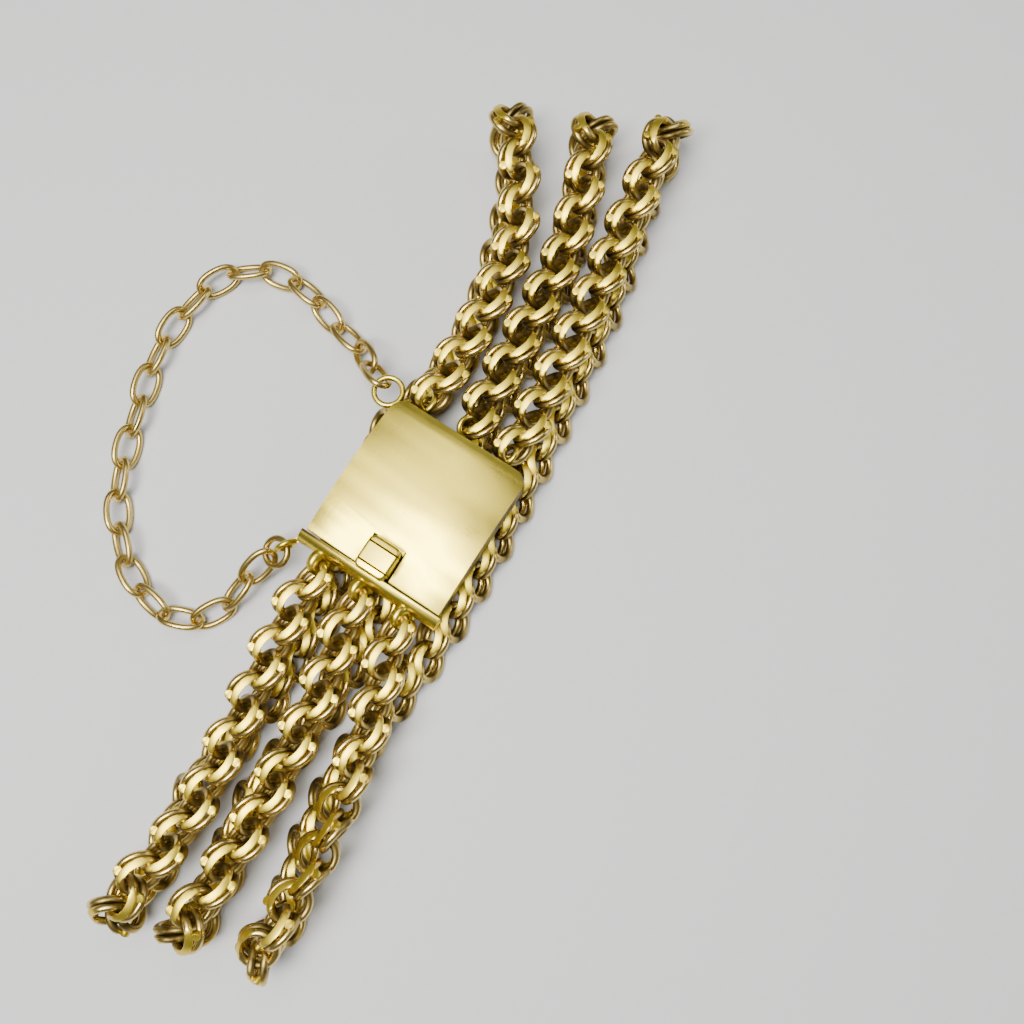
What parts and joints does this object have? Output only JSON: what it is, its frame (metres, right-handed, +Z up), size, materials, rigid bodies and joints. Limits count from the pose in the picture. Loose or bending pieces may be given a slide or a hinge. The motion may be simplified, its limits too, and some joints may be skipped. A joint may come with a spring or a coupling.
{
  "type": "three-strand chain bracelet",
  "caption": "Gold bracelet of rolled double-ring chain strands joined by a box clasp with a thumb tab, with a fine safety chain.",
  "frame": {"origin": "middle of the bracelet's footprint, on the surface it lies on", "axes": "+X along the bracelet from the tongue's end to the case's end of the clasp, +Y across it towards the safety chain, +Z up from the surface"},
  "size_m": [0.0936, 0.0454, 0.0083],
  "materials": {
    "chain_gold": "polished yellow gold, worn, with darker tarnish in the crevices",
    "clasp_gold": "pale satin yellow gold with fine wear scratches"
  },
  "bodies": {
    "bracelet": {"clasp_box": "clasp_gold", "tongue": "clasp_gold", "strand_left": "chain_gold", "strand_middle": "chain_gold", "strand_right": "chain_gold", "safety_chain": "chain_gold"},
    "thumb": {"thumb_tab": "clasp_gold"}
  },
  "joints": [
    {"name": "thumb_press", "type": "hinge", "parent": "bracelet", "child": "thumb", "pos_m": [0.0049, -0.01, 0.00514], "axis": [0, -1, 0], "range_deg": [0, 2.5], "stiffness_Nm_per_rad": 0.02}
  ]
}
